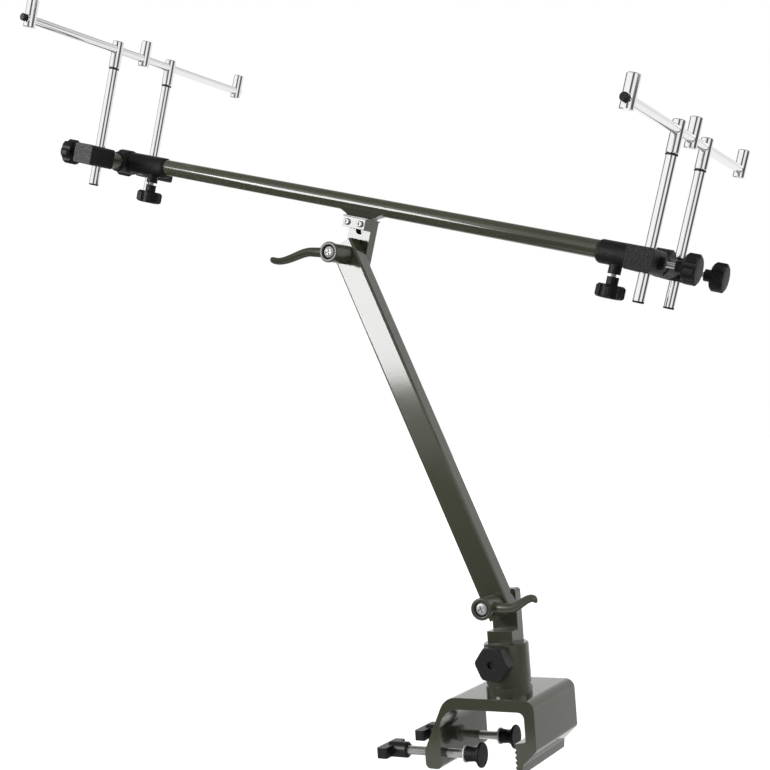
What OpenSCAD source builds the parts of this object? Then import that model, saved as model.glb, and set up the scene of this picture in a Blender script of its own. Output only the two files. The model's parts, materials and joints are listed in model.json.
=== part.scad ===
// Clamp-on rod pod: a C-shaped jetty clamp, a swivelling post, a tilting arm and a tilting
// tube that carries two rod rests on adjustable sticks. Millimetres, +Z up. The origin is on
// the post's axis, at the underside of the clamp's top plate. +Y runs along the jetty edge.

/* [Clamp bracket] */
// Length of the bracket along the edge it grips
bracket_len = 122; // [96:1:160]
// From the post's axis to the bracket's front face
front_reach = 32; // [28:1:40]
// Thickness of the top plate
plate_t = 13; // [8:0.5:18]
// From the post's axis to the inner face of the fixed leg
right_reach = 29; // [27:0.5:40]
// Thickness of the fixed leg
right_wall = 12; // [8:0.5:16]
// From the post's axis to the inner face of the screw leg
left_reach = 74; // [66:1:90]
// Thickness of the screw leg at its foot
left_wall = 20; // [15:0.5:24]
// How far the screw leg's shoulder is set in from its foot
shoulder_inset = 29; // [16:1:32]
// Depth of the legs below the plate's underside
leg_drop = 67; // [62:1:85]
// Depth of the fixed jaw's ledge below the plate's underside
ledge_drop = 34; // [28:1:38]
// How far the toothed jaw stands in from the fixed leg
jaw_reach = 13.5; // [8:0.5:16]
// Pitch of the jaw's teeth
tooth_pitch = 3.6; // [2.4:0.1:5]
// Depth of the jaw's teeth
tooth_depth = 1.6; // [0.8:0.1:2.2]

/* [Clamp screws] */
// Diameter of the screws
screw_d = 10; // [8:0.5:12]
// Distance between the two screws
screw_spacing = 84; // [64:1:90]
// Depth of the screws below the plate's underside
screw_drop = 53; // [48:1:54]
// Length of a screw from its handle's hub to its pad
screw_len = 71; // [60:1:84]
// Gap between the front pad and the jaw's teeth at rest
front_pad_gap = 47; // [44:1:54]
// Gap between the rear pad and the jaw's teeth at rest
rear_pad_gap = 43; // [40:1:54]
// Diameter of the pad's disc
pad_d = 27.5; // [20:0.5:30]
// Thickness of the pad's disc
pad_t = 9; // [6:0.5:12]
// Diameter of the pad's neck
pad_neck_d = 17; // [14.5:0.5:19]
// Length of the pad's neck
pad_neck_len = 11; // [8:0.5:16]
// Diameter of the washer behind the pad
pad_washer_d = 19; // [16:0.5:20]
// Thickness of the washer behind the pad
pad_washer_t = 1.5; // [1:0.1:2.5]
// Length of the handle's bar
wing_len = 46; // [36:1:60]
// Width of the handle's bar along the screw
wing_w = 13; // [11:0.5:16]
// Thickness of the handle's bar
wing_t = 12; // [9:0.5:14]
// Diameter of the handle's hub
wing_hub_d = 18; // [15:0.5:22]
// Length of the handle's hub
wing_hub_len = 24; // [18:1:30]

/* [Post] */
// Outer diameter of the post socket
post_d = 50; // [46:0.5:54]
// Bore of the post socket
post_bore_d = 38; // [30:0.5:40]
// Height of the post socket above the plate
post_h = 57; // [50:1:70]
// Height of the welded foot ring
foot_ring_h = 11; // [7:0.5:12]
// How far the foot ring stands out from the post
foot_ring_out = 0.6; // [0.3:0.1:2]
// Height of the groove above the foot ring
foot_groove_h = 2; // [1:0.5:4]
// Depth of the groove above the foot ring
foot_groove_depth = 1.2; // [0.5:0.1:2]

/* [Swivel knob] */
// Height of the knob's axis above the plate
knob_rise = 39; // [34:0.5:42]
// Width of the hexagonal knob across its corners
hex_knob_d = 40; // [34:0.5:46]
// Length of the hexagonal knob
hex_knob_len = 16; // [14:0.5:28]
// Diameter of the knob's stud
hex_stud_d = 8; // [6:0.5:10]
// Depth of the ring groove in the stem that takes the stud's tip
stem_groove_depth = 2; // [1:0.5:4]

/* [Clevises] */
// Width of the clevis blocks
block_w = 30; // [26:0.5:34]
// Depth of the clevis blocks along the pivots
block_depth = 31; // [28:0.5:34]
// Height of the lower clevis block
lower_block_h = 13.6; // [10:0.2:18]
// Height of the upper clevis block
upper_block_h = 12.4; // [10:0.2:16]
// Thickness of the ear behind the arm
ear_t = 14.5; // [12:0.5:16]
// From the post's rim to the lower pivot
lower_rise = 44.2; // [41:0.2:52]
// From the upper pivot to the upper block
upper_ear_len = 32.4; // [30:0.2:36]
// From the main tube's axis to the upper pivot
upper_drop = 62; // [58:0.5:70]
// How far an ear reaches past its pivot
ear_over = 14.2; // [10:0.2:18]
// Corner radius of the ears
ear_r = 4; // [1:0.5:8]
// Radius of the relief hole at the root of the upper ear
relief_r = 5.5; // [3:0.5:7]

/* [Arm] */
// Width of the arm's tube in the swing plane
arm_w = 30; // [25:0.5:34]
// Depth of the arm's tube along the pivots
arm_depth = 22; // [18:0.5:26]
// Wall of the arm's tube
arm_wall = 2; // [1.5:0.1:3]
// Distance between the two pivots
arm_span = 437; // [380:1:500]
// How far the arm reaches past each pivot
arm_over = 15; // [12:0.5:18]
// Lean of the arm from upright
arm_lean = 21.6; // [10:0.2:30]

/* [Clamping levers] */
// Diameter of the pivot bolts
bolt_d = 10; // [8:0.5:12]
// Width of the pivot bolt's head across its corners
bolt_head_d = 19; // [16:0.5:22]
// Height of the pivot bolt's head
bolt_head_h = 6.4; // [5:0.2:8]
// Diameter of the lever's hub
hub_d = 22; // [20:0.5:24]
// Diameter of the rim at the hub's outer end
hub_rim_d = 24; // [23:0.5:28]
// Length of the lever's hub
hub_len = 36.6; // [30:0.2:42]
// Length of the lever's handle from its axis
lever_len = 71; // [60:1:90]
// How far the handle rises along its length
lever_crest = 13.4; // [8:0.2:16]
// Height of the handle at its root
lever_root_h = 13; // [10:0.2:16]
// Height of the handle at its tip
lever_tip_h = 7; // [4:0.2:9]
// Width of the handle at its root
lever_root_w = 12.8; // [10:0.2:16]
// Width of the handle at its tip
lever_tip_w = 7.2; // [5:0.2:9]
// Splay of the handle away from the arm
lever_splay = 20; // [5:1:25]
// Turn of the lower lever
lower_lever_turn = 0; // [-20:1:30]
// Turn of the upper lever
upper_lever_turn = 171; // [160:1:200]
// Diameter of the lever screw's head
lever_screw_d = 14.5; // [12:0.5:16]

/* [Main tube] */
// Outer diameter of the main tube
tube_d = 20; // [18:0.5:22]
// Wall of the main tube
tube_wall = 1.5; // [1:0.1:3]
// Distance between the centres of the two end fittings
tee_span = 746; // [640:2:840]
// How far the tube's middle lies to the left of its clevis
tube_shift = 3; // [0:0.5:20]
// Tilt of the tube, left end up
tube_tilt = 17.8; // [5:0.2:25]
// Length of the saddle at the tube
saddle_len = 70; // [56:1:90]
// Length of the saddle at its base
saddle_base_len = 34; // [32:1:44]
// Width of the saddle across the tube
saddle_w = 18; // [14:0.5:20]
// Width of the saddle's foot on its plate
saddle_foot_w = 11; // [8:0.5:16]
// Thickness of the plate under the saddle
saddle_plate_t = 1.6; // [1:0.1:2.5]
// Diameter of the saddle screws' heads
saddle_screw_d = 7.5; // [6:0.5:9]
// Distance between the saddle screws
saddle_screw_spacing = 18; // [14:0.5:20]

/* [End fittings] */
// Outer diameter of the tee's sleeve on the main tube
sleeve_d = 26; // [25:0.5:30]
// How far the sleeve hangs below the main tube's axis
sleeve_drop = 1.5; // [0:0.1:1.6]
// Reach of the sleeve from the tee's centre
sleeve_reach = 72; // [64:1:84]
// Diameter of the tee's collar round the crossing
tee_collar_d = 29; // [27:0.5:32]
// Length of the tee's collar along the main tube
tee_collar_len = 18; // [12:1:24]
// Outer diameter of the tee's cross sleeve
cross_sleeve_d = 26; // [25:0.5:30]
// Length of the tee's cross sleeve
cross_sleeve_len = 35; // [30:1:56]
// How far the cross tube lies below the main tube's axis
cross_drop = 4.5; // [0:0.5:6]
// Outer diameter of the cross tube
cross_tube_d = 20; // [18:0.5:21]
// Wall of the cross tube
cross_tube_wall = 1.5; // [1:0.1:2.5]
// From the sleeve knob's axis to the tee's centre
sleeve_knob_reach = 50; // [44:0.5:56]
// Distance between the two sticks of a rest
stick_spacing = 104; // [96:1:130]
// Width of a stick clamp along the main tube
clamp_w = 29; // [26:0.5:32]
// Height of a stick clamp
clamp_h = 25; // [24:0.5:30]
// From the stick's axis to the clamp's outer end
clamp_out = 29; // [26:0.5:36]
// From the stick's axis to the clamp's inner end
clamp_in = 13; // [10:0.5:15]
// Diameter of the bosses that take the knobs
boss_d = 14; // [12:0.5:16]
// Height of the bosses under the sleeves
sleeve_boss_h = 8.5; // [6:0.5:11]
// Height of the bosses on the stick clamps
clamp_boss_h = 5; // [3:0.5:9]

/* [Star knobs] */
// Diameter of the star knobs
star_d = 32; // [28:0.5:38]
// Length of the star knob's head
star_len = 15; // [10:0.5:18]
// Number of lobes
star_lobes = 7; // [5:1:9]
// Diameter of the knob's neck
star_neck_d = 13; // [11:0.5:15]
// Length of the knob's neck
star_neck_len = 8.5; // [6:0.5:12]
// Diameter of the knob's stud
star_stud_d = 6; // [5:0.5:7]
// Bare stud between a sleeve's boss and its knob
sleeve_stud_gap = 3; // [2:0.5:5]
// Bare stud between a stick clamp's boss and its knob
clamp_stud_gap = 11; // [8:0.5:16]

/* [Rod rests] */
// Diameter of the sticks
stick_d = 12; // [10:0.5:13]
// Wall of the sticks
stick_wall = 1.5; // [1:0.1:2]
// Length of a stick below its socket
stick_len = 147; // [120:1:180]
// Height of the left bar above the main tube's axis
left_bar_rise = 133; // [124:1:140]
// Height of the right bar above the main tube's axis
right_bar_rise = 127; // [124:1:140]
// Diameter of the bar
bar_d = 10; // [8:0.5:11]
// Distance between the two outer rod holders
bar_span = 404; // [320:2:480]
// How far the bar's ends stand past the outer holders' walls
bar_proud = 0.5; // [0.2:0.1:2]
// Diameter of the black stop and plug on the bar's ends
bar_cap_d = 8.6; // [6:0.2:9.6]
// Length of the stop on the bar's near end
bar_stop_len = 5.5; // [3:0.5:8]
// Length of the plug on the bar's far end
bar_plug_len = 0.6; // [0.4:0.1:3]
// Diameter of the rod holders
holder_d = 14; // [12:0.5:16]
// Height of a rod holder above the bar's axis
holder_up = 23; // [20:0.5:28]
// Depth of a rod holder below the bar's axis
holder_down = 9.7; // [8:0.1:14]
// Diameter of the threaded hole in a rod holder
holder_bore_d = 8.7; // [7:0.1:9]
// Depth of the threaded hole in a rod holder
holder_bore_len = 15; // [10:0.5:15.5]
// Diameter of the stick sockets on the bar
socket_d = 14; // [13:0.5:16]
// Height of a stick socket above the bar's axis
socket_up = 10.5; // [8:0.5:14]
// Depth of a stick socket below the bar's axis
socket_down = 23.5; // [20:0.5:30]
// Diameter of the threaded end of a stick
spigot_d = 9.4; // [7:0.1:9.6]
// Length of the threaded end of a stick
spigot_len = 14; // [8:0.5:14]
// Thickness of the ring between stick and socket
ring_t = 2; // [1:0.1:3]
// Thickness of the plug's head at a stick's foot
plug_t = 2; // [1:0.1:3]

/* [Fits] */
// Radial clearance of a turning or sliding fit
run_fit = 0.05; // [0.02:0.01:0.1]
// Gap between flat faces that slide on each other
face_gap = 0.2; // [0.1:0.05:0.4]
// Gap in front of a stud's tip
tip_gap = 0.3; // [0.2:0.05:0.5]

/* [Hidden] */
$fn = 64;
olive = "#4a4b3a";
black_plastic = "#1d1d1f";
chrome = "#d2d3d6";
steel = "#b4b5b8";
white_nylon = "#e4e4e0";

// Heights of the post, the clevis and the two pivots
post_top = plate_t + post_h;
block_base = post_top + face_gap;
lower_pivot = [0, 0, post_top + lower_rise];
upper_pivot = lower_pivot + arm_span * [-sin(arm_lean), 0, cos(arm_lean)];
// Middle of the main tube's axis above its clevis
tube_centre = upper_pivot + upper_drop * [sin(tube_tilt), 0, cos(tube_tilt)];
// The arm lies in front of the ears
ear_back = block_depth / 2;
ear_front = ear_back - ear_t;
arm_back = ear_front - face_gap;
arm_front = arm_back - arm_depth;
hub_base = arm_front - face_gap;
hub_end = hub_base - hub_len;
hub_lip = 0.6;
hub_rim_len = 3.5;
lever_screw_h = 5;
lever_screw_shank_d = 5;
lever_screw_shank_len = 12;
screw_room = 0.8;
screw_seat = hub_end + lever_screw_h + hub_lip;
// Profile radii of the bracket
shoulder_r = 22;
corner_r = 10;
inner_corner_r = 7;
inner_arch_r = 25;
foot_r = 6;
jaw_toe = 7;
jaw_slope = 16;
ledge_rise = 3;
// Stem of the swivelling clevis
stem_d = post_bore_d - 2 * run_fit;
stem_foot = plate_t + face_gap;
stem_groove_w = hex_stud_d + 2 * tip_gap;
knob_z = plate_t + knob_rise;
// Faces of the screw leg and the jaw
leg_inner = -left_reach;
leg_outer = -left_reach - left_wall;
jaw_face = right_reach - jaw_reach;
front_face = -front_reach;
screw_mid = front_face + bracket_len / 2;
// Levels in the tube's own frame
tube_r = tube_d / 2;
upper_block_base = -upper_drop + upper_ear_len;
upper_block_top = upper_block_base + upper_block_h;
upper_block_mid = upper_block_base + upper_block_h / 2;
saddle_base = upper_block_top + saddle_plate_t;
saddle_screw_shank_d = 4;
tee_reach = tee_span / 2;
tube_end_gap = 2;
tube_end = tee_reach - cross_tube_d / 2 - tube_end_gap;
sleeve_lip = 3;
boss_face = -sleeve_drop - sleeve_d / 2 - sleeve_boss_h;
stick_y = stick_spacing / 2;
cross_tube_end_wall = 8;
cross_tube_half = stick_y + clamp_out - cross_tube_end_wall;
stick_hole_slack = 0.3;
clamp_r = 3;
star_edge = 2.5;
scallop_d = star_d * 0.3;
sides = [-1, 1];

// Points of an outline whose corners are given as [x, y, radius]
function corner_arc(a, p, b, r, steps = 8) =
    let (u = (a - p) / norm(a - p), v = (b - p) / norm(b - p),
         half = acos(u * v) / 2,
         reach = r / tan(half),
         centre = p + (u + v) / norm(u + v) * r / sin(half),
         start = p + u * reach - centre,
         turn = cross(u, v) > 0 ? -(180 - 2 * half) : 180 - 2 * half)
    [for (i = [0:steps])
        let (t = turn * i / steps)
        centre + [start[0] * cos(t) - start[1] * sin(t), start[0] * sin(t) + start[1] * cos(t)]];
function flat(p) = [p[0], p[1]];
function rounded(corners) =
    let (n = len(corners))
    [for (i = [0:n - 1])
        let (a = flat(corners[(i + n - 1) % n]), p = flat(corners[i]), b = flat(corners[(i + 1) % n]),
             r = corners[i][2])
        each r > 0 ? corner_arc(a, p, b, r) : [p]];

// Places and directions
module swing(pivot, angle) { translate(pivot) rotate([0, angle, 0]) children(); }
module on_arm() { swing(lower_pivot, -arm_lean) children(); }
module on_tube() { swing(tube_centre, tube_tilt) children(); }
module at_end(side) {
    on_tube() translate([side * tee_reach - tube_shift, 0, 0])
        mirror([side < 0 ? 1 : 0, 0, 0]) children();
}
// A cylinder along -Y from one depth to another
module pin_y(d, from, to) { translate([0, from, 0]) rotate([90, 0, 0]) cylinder(d = d, h = from - to); }
module pin_x(d, from, to) { translate([from, 0, 0]) rotate([0, 90, 0]) cylinder(d = d, h = to - from); }
// An outline in the X-Z plane drawn out along Y
module profile_y(from, to) {
    translate([0, to, 0]) rotate([90, 0, 0]) linear_extrude(to - from) children();
}

// Clamp bracket: one thick C-shaped extrusion with a toothed fixed jaw
module bracket_outline() {
    tooth_count = floor((leg_drop - ledge_drop) / tooth_pitch);
    teeth = [for (i = [tooth_count - 1:-1:0])
        let (z = -ledge_drop - i * tooth_pitch)
        each [[jaw_face, z - tooth_pitch * 0.5, 0], [jaw_face + tooth_depth, z - tooth_pitch * 0.1, 0]]];
    polygon(rounded(concat([
        [leg_outer + shoulder_inset, plate_t, shoulder_r],
        [right_reach + right_wall, plate_t, corner_r],
        [right_reach + right_wall, -ledge_drop - foot_r, foot_r],
        [jaw_face + jaw_toe + tooth_depth, -ledge_drop - foot_r - jaw_slope, 3],
        [jaw_face + jaw_toe, -leg_drop, 2],
        [jaw_face + tooth_depth, -leg_drop, 0]],
        teeth, [
        [jaw_face, -ledge_drop, 0],
        [right_reach, -ledge_drop + ledge_rise, 1.5],
        [right_reach, 0, inner_corner_r],
        [leg_inner, 0, inner_arch_r],
        [leg_inner, -leg_drop, foot_r],
        [leg_outer, -leg_drop, foot_r],
        [leg_outer, -leg_drop + left_wall, shoulder_r]])));
}
module at_screws() {
    for (s = sides) translate([0, screw_mid + s * screw_spacing / 2, -screw_drop]) children();
}
module clamp_bracket() {
    color(olive) difference() {
        profile_y(front_face, front_face + bracket_len) bracket_outline();
        at_screws() pin_x(screw_d + 2 * run_fit, leg_outer - 1, leg_inner + 1);
    }
}

// Post socket: a tube with a chamfered rim, welded to the plate through a foot ring
module post_socket() {
    rim = 1.5;
    ring_top = plate_t + foot_ring_h;
    ring_r = post_d / 2 + foot_ring_out;
    groove_r = post_d / 2 - foot_groove_depth;
    color(olive) difference() {
        rotate_extrude() polygon([
            [post_bore_d / 2, plate_t], [ring_r, plate_t], [ring_r, ring_top - 1], [ring_r - 1, ring_top],
            [groove_r, ring_top], [groove_r, ring_top + foot_groove_h],
            [post_d / 2, ring_top + foot_groove_h], [post_d / 2, post_top - rim],
            [post_d / 2 - rim, post_top], [post_bore_d / 2 + rim / 2, post_top],
            [post_bore_d / 2, post_top - rim / 2]]);
        translate([0, 0, knob_z]) pin_y(hex_stud_d + 2 * run_fit, 0, -post_d);
    }
}

// Hexagonal hand knob that locks the swivel, on its stud
hex_knob_back = -post_d / 2 - 2;
hex_knob_front = hex_knob_back - hex_knob_len;
module swivel_knob() {
    bevel = 1.6;
    dimple_d = 9;
    corner_turn = -6;
    color(black_plastic) translate([0, hex_knob_back, knob_z]) rotate([90, 0, 0]) difference() {
        intersection() {
            rotate(corner_turn) cylinder(d = hex_knob_d, h = hex_knob_len, $fn = 6);
            rotate_extrude() polygon([
                [0, 0], [hex_knob_d / 2 - bevel, 0], [hex_knob_d / 2, bevel],
                [hex_knob_d / 2, hex_knob_len - bevel], [hex_knob_d / 2 - bevel, hex_knob_len],
                [0, hex_knob_len]]);
        }
        translate([0, 0, hex_knob_len - 3]) cylinder(d = dimple_d, h = 4);
        translate([0, 0, -1]) cylinder(d = hex_stud_d + 2 * run_fit, h = hex_knob_len - 5);
    }
}
module swivel_stud() {
    color(steel) translate([0, 0, knob_z])
        pin_y(hex_stud_d, -stem_d / 2 + stem_groove_depth - tip_gap, hex_knob_front + 6.5);
}

// Clamp screws, each with a bar handle, a washer and a swivelling pad
function pad_face(gap) = jaw_face - gap;
module at_screw(side, gap) {
    translate([pad_face(gap), screw_mid + side * screw_spacing / 2, -screw_drop]) children();
}
pad_socket_len = pad_neck_len - 2;
pad_back = -pad_t - pad_neck_len;
washer_back = pad_back - pad_washer_t;
hub_face = washer_back - screw_len;
module clamp_pad() {
    disc_rim = 2.4;
    edge = 0.8;
    color(black_plastic) rotate([0, 90, 0]) difference() {
        rotate_extrude() polygon([
            [0, pad_back], [pad_neck_d / 2 - 1, pad_back], [pad_neck_d / 2, pad_back + 1],
            [pad_neck_d / 2 - 1, -pad_t - 1], [pad_neck_d / 2 + 1, -pad_t * 0.55],
            [pad_d / 2 - edge, -disc_rim - edge], [pad_d / 2, -disc_rim],
            [pad_d / 2, -edge], [pad_d / 2 - edge, 0], [0, 0]]);
        translate([0, 0, pad_back - 1]) cylinder(d = screw_d + 2 * run_fit, h = pad_socket_len + 1);
    }
}
module pad_washer() {
    color(white_nylon) difference() {
        pin_x(pad_washer_d, washer_back, pad_back);
        pin_x(screw_d + 2 * run_fit, washer_back - 1, pad_back + 1);
    }
}
module clamp_screw() {
    color(steel) pin_x(screw_d, hub_face - wing_hub_len, pad_back + pad_socket_len - face_gap);
}
module clamp_wing() {
    bar_mid = hub_face - wing_hub_len;
    corner = 2.5;
    color(black_plastic) difference() {
        union() {
            rotate([0, 90, 0]) translate([0, 0, bar_mid]) rotate_extrude() polygon([
                [0, 0], [wing_hub_d / 2, 0], [wing_hub_d / 2, wing_hub_len - 2],
                [wing_hub_d / 2 - 2, wing_hub_len], [0, wing_hub_len]]);
            translate([bar_mid, 0, -wing_t / 2]) linear_extrude(wing_t) polygon(rounded([
                [-wing_w / 2, -wing_len / 2, corner], [wing_w / 2, -wing_len / 2, corner],
                [wing_w / 2, wing_len / 2, corner], [-wing_w / 2, wing_len / 2, corner]]));
        }
        pin_x(screw_d + 2 * run_fit, bar_mid - face_gap, hub_face + 1);
    }
}
module front_clamp_screw() { at_screw(-1, front_pad_gap) clamp_screw(); }
module rear_clamp_screw() { at_screw(1, rear_pad_gap) clamp_screw(); }
module front_clamp_wing() { at_screw(-1, front_pad_gap) clamp_wing(); }
module rear_clamp_wing() { at_screw(1, rear_pad_gap) clamp_wing(); }
module front_clamp_pad() { at_screw(-1, front_pad_gap) clamp_pad(); }
module rear_clamp_pad() { at_screw(1, rear_pad_gap) clamp_pad(); }
module front_pad_washer() { at_screw(-1, front_pad_gap) pad_washer(); }
module rear_pad_washer() { at_screw(1, rear_pad_gap) pad_washer(); }

// Clevises: a square block whose rear half rises as an ear behind the arm
module ear_outline(root, tip) {
    polygon(rounded([[-block_w / 2, root, 0], [block_w / 2, root, 0],
                     [block_w / 2, tip, ear_r], [-block_w / 2, tip, ear_r]]));
}
module swivel_clevis() {
    stem_neck = 1;
    groove_r = stem_d / 2 - stem_groove_depth;
    color(olive) difference() {
        union() {
            rotate_extrude() polygon([
                [0, stem_foot], [stem_d / 2 - stem_neck, stem_foot], [stem_d / 2, stem_foot + stem_neck],
                [stem_d / 2, knob_z - stem_groove_w / 2], [groove_r, knob_z - stem_groove_w / 2],
                [groove_r, knob_z + stem_groove_w / 2], [stem_d / 2, knob_z + stem_groove_w / 2],
                [stem_d / 2, block_base], [0, block_base]]);
            translate([-block_w / 2, -block_depth / 2, block_base])
                cube([block_w, block_depth, lower_block_h]);
            profile_y(ear_front, ear_back)
                ear_outline(block_base + lower_block_h / 2, lower_pivot[2] + ear_over);
        }
        translate(lower_pivot) pin_y(bolt_d + 2 * run_fit, ear_back + 1, ear_front - 1);
    }
}
module upper_clevis() {
    color(olive) on_tube() difference() {
        union() {
            translate([-block_w / 2, -block_depth / 2, upper_block_base])
                cube([block_w, block_depth, upper_block_h]);
            profile_y(ear_front, ear_back) mirror([0, 1])
                ear_outline(-upper_block_base - upper_block_h / 2, upper_drop + ear_over);
        }
        translate([0, 0, -upper_drop]) pin_y(bolt_d + 2 * run_fit, ear_back + 1, ear_front - 1);
        translate([0, 0, upper_block_base]) intersection() {
            pin_y(2 * relief_r, ear_front + 6, ear_front - 1);
            translate([-relief_r, ear_front - 1, -2 * relief_r]) cube([2 * relief_r, 8, 2 * relief_r]);
        }
        for (s = sides) translate([s * saddle_screw_spacing / 2, 0, upper_block_mid])
            pin_y(saddle_screw_shank_d, -block_depth / 2 + 8, -block_depth / 2 - 1);
    }
}

// Pivot bolts, clamping levers and the screws that keep the levers on
module pivot_bolt() {
    color(steel) difference() {
        union() {
            pin_y(bolt_d, ear_back, screw_seat);
            translate([0, ear_back + bolt_head_h, 0]) rotate([90, 0, 0])
                cylinder(d = bolt_head_d, h = bolt_head_h, $fn = 6);
        }
        pin_y(lever_screw_shank_d + 2 * run_fit, screw_seat + lever_screw_shank_len + 1, screw_seat - 1);
    }
}
module lever_screw() {
    head_r = lever_screw_d / 2;
    slot = [lever_screw_d * 0.5, 1.6, 1.8];
    color(steel) translate([0, screw_seat, 0]) rotate([90, 0, 0]) difference() {
        union() {
            rotate_extrude() polygon([
                [0, 0], [head_r, 0], [head_r, lever_screw_h * 0.5],
                [head_r * 0.85, lever_screw_h * 0.8], [head_r * 0.5, lever_screw_h], [0, lever_screw_h]]);
            translate([0, 0, -lever_screw_shank_len])
                cylinder(d = lever_screw_shank_d, h = lever_screw_shank_len + 0.5);
        }
        for (a = [20, 110]) rotate(a)
            translate([-slot[0] / 2, -slot[1] / 2, lever_screw_h - slot[2]])
                cube([slot[0], slot[1], slot[2] + 1]);
    }
}
// Handle of a lever: rings of an oval section along an S-shaped line that splays outwards
lever_root = hub_base - hub_len * 0.62;
lever_droop = 1.9;
lever_rise_start = 0.4;
lever_rise_run = 0.52;
lever_droop_run = 0.14;
lever_end_run = 0.05;
lever_rings = 20;
lever_sides = 14;
function ease(u) = u <= 0 ? 0 : u >= 1 ? 1 : u * u * (3 - 2 * u);
function lever_rise(t) = lever_crest * ease((t - lever_rise_start) / lever_rise_run)
    - lever_droop * pow(max(t - 1 + lever_droop_run, 0) / lever_droop_run, 2);
function lever_point(t) = [lever_len * t, lever_root - tan(lever_splay) * lever_len * t * t, lever_rise(t)];
function lever_half_height(t) = lever_root_h / 2 + (lever_tip_h - lever_root_h) / 2 * t;
function lever_half_depth(t) = lever_root_w / 2 + (lever_tip_w - lever_root_w) / 2 * t;
function round_end(t) = sqrt(max(0.04, 1 - pow(max(t - 1 + lever_end_run, 0) / lever_end_run, 2)));
function lever_ring(t) =
    let (p = lever_point(t), q = lever_point(t + 0.01) - lever_point(max(t - 0.01, 0)),
         slope = atan2(q[2], q[0]), up = [-sin(slope), 0, cos(slope)])
    [for (j = [0:lever_sides - 1])
        let (a = 360 * j / lever_sides)
        p + up * lever_half_height(t) * round_end(t) * sin(a)
          + [0, 1, 0] * lever_half_depth(t) * round_end(t) * cos(a)];
module lever_handle() {
    points = [for (i = [0:lever_rings]) each lever_ring(i / lever_rings)];
    walls = [for (i = [0:lever_rings - 1], j = [0:lever_sides - 1])
        let (a = i * lever_sides + j, b = i * lever_sides + (j + 1) % lever_sides)
        each [[b, a, a + lever_sides], [b + lever_sides, b, a + lever_sides]]];
    last = lever_rings * lever_sides;
    caps = [[for (j = [0:lever_sides - 1]) j], [for (j = [lever_sides - 1:-1:0]) last + j]];
    polyhedron(points, concat(walls, caps));
}
module lever() {
    rim_groove = 0.8;
    color(olive) difference() {
        union() {
            lever_handle();
            translate([0, hub_base, 0]) rotate([90, 0, 0]) rotate_extrude() polygon([
                [0, 0], [hub_d / 2 - 1, 0], [hub_d / 2, 1],
                [hub_d / 2, hub_len - hub_rim_len - 1], [hub_rim_d / 2, hub_len - hub_rim_len],
                [hub_rim_d / 2, hub_len - rim_groove], [hub_rim_d / 2 - rim_groove, hub_len],
                [0, hub_len]]);
        }
        pin_y(bolt_d + 2 * run_fit, hub_base + 1, screw_seat - 0.5);
        pin_y(lever_screw_d + 2 * screw_room, screw_seat + face_gap, hub_end - 1);
    }
}
module lower_pivot_bolt() { translate(lower_pivot) pivot_bolt(); }
module upper_pivot_bolt() { swing(upper_pivot, tube_tilt) pivot_bolt(); }
module lower_lever() { swing(lower_pivot, -lower_lever_turn) lever(); }
module upper_lever() { swing(upper_pivot, -upper_lever_turn) lever(); }
module lower_lever_screw() { translate(lower_pivot) lever_screw(); }
module upper_lever_screw() { swing(upper_pivot, tube_tilt) lever_screw(); }

// Arm: a rectangular tube, closed at its ends, with a bush round each bolt
module arm_section(inset) {
    r = 2.5 - inset * 0.8;
    translate([-arm_w / 2 + inset, arm_front + inset]) polygon(rounded([
        [0, 0, r], [arm_w - 2 * inset, 0, r],
        [arm_w - 2 * inset, arm_depth - 2 * inset, r], [0, arm_depth - 2 * inset, r]]));
}
module at_arm_bolts() { for (z = [0, arm_span]) translate([0, 0, z]) children(); }
module arm_tube() {
    color(olive) on_arm() difference() {
        translate([0, 0, -arm_over]) linear_extrude(arm_span + 2 * arm_over) arm_section(0);
        translate([0, 0, arm_wall - arm_over])
            linear_extrude(arm_span + 2 * (arm_over - arm_wall)) arm_section(arm_wall);
        at_arm_bolts() pin_y(bolt_d + 2 * run_fit, arm_back + 1, arm_front - 1);
    }
}
module arm_bushes() {
    bush_d = bolt_d + 4;
    color(white_nylon) on_arm() at_arm_bolts() difference() {
        pin_y(bush_d, arm_back - arm_wall, arm_front + arm_wall);
        pin_y(bolt_d + 2 * run_fit, arm_back, arm_front);
    }
}

// Saddle under the main tube, with its base plate and two screws
module tube_saddle() {
    saddle_flare = 2.5;
    wing_z = -tube_r * 0.62;
    top_z = wing_z + saddle_flare;
    color(olive) on_tube() difference() {
        intersection() {
            profile_y(-saddle_w / 2, saddle_w / 2) polygon(rounded([
                [-saddle_base_len / 2, saddle_base, 0], [saddle_base_len / 2, saddle_base, 0],
                [saddle_base_len / 2, saddle_base + 1, 6],
                [saddle_len / 2, wing_z, 0], [saddle_len / 2, top_z, 0],
                [-saddle_len / 2, top_z, 0], [-saddle_len / 2, wing_z, 0],
                [-saddle_base_len / 2, saddle_base + 1, 6]]));
            rotate([90, 0, 90]) linear_extrude(saddle_len + 2, center = true) polygon([
                [-saddle_foot_w / 2, saddle_base], [saddle_foot_w / 2, saddle_base],
                [saddle_w / 2, top_z], [-saddle_w / 2, top_z]]);
        }
        pin_x(tube_d + 2 * run_fit, -saddle_len, saddle_len);
    }
}
module saddle_plate() {
    plate_w = block_depth - 1;
    color(chrome) on_tube() translate([-saddle_base_len / 2, -plate_w / 2, upper_block_top])
        cube([saddle_base_len, plate_w, saddle_plate_t]);
}
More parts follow.
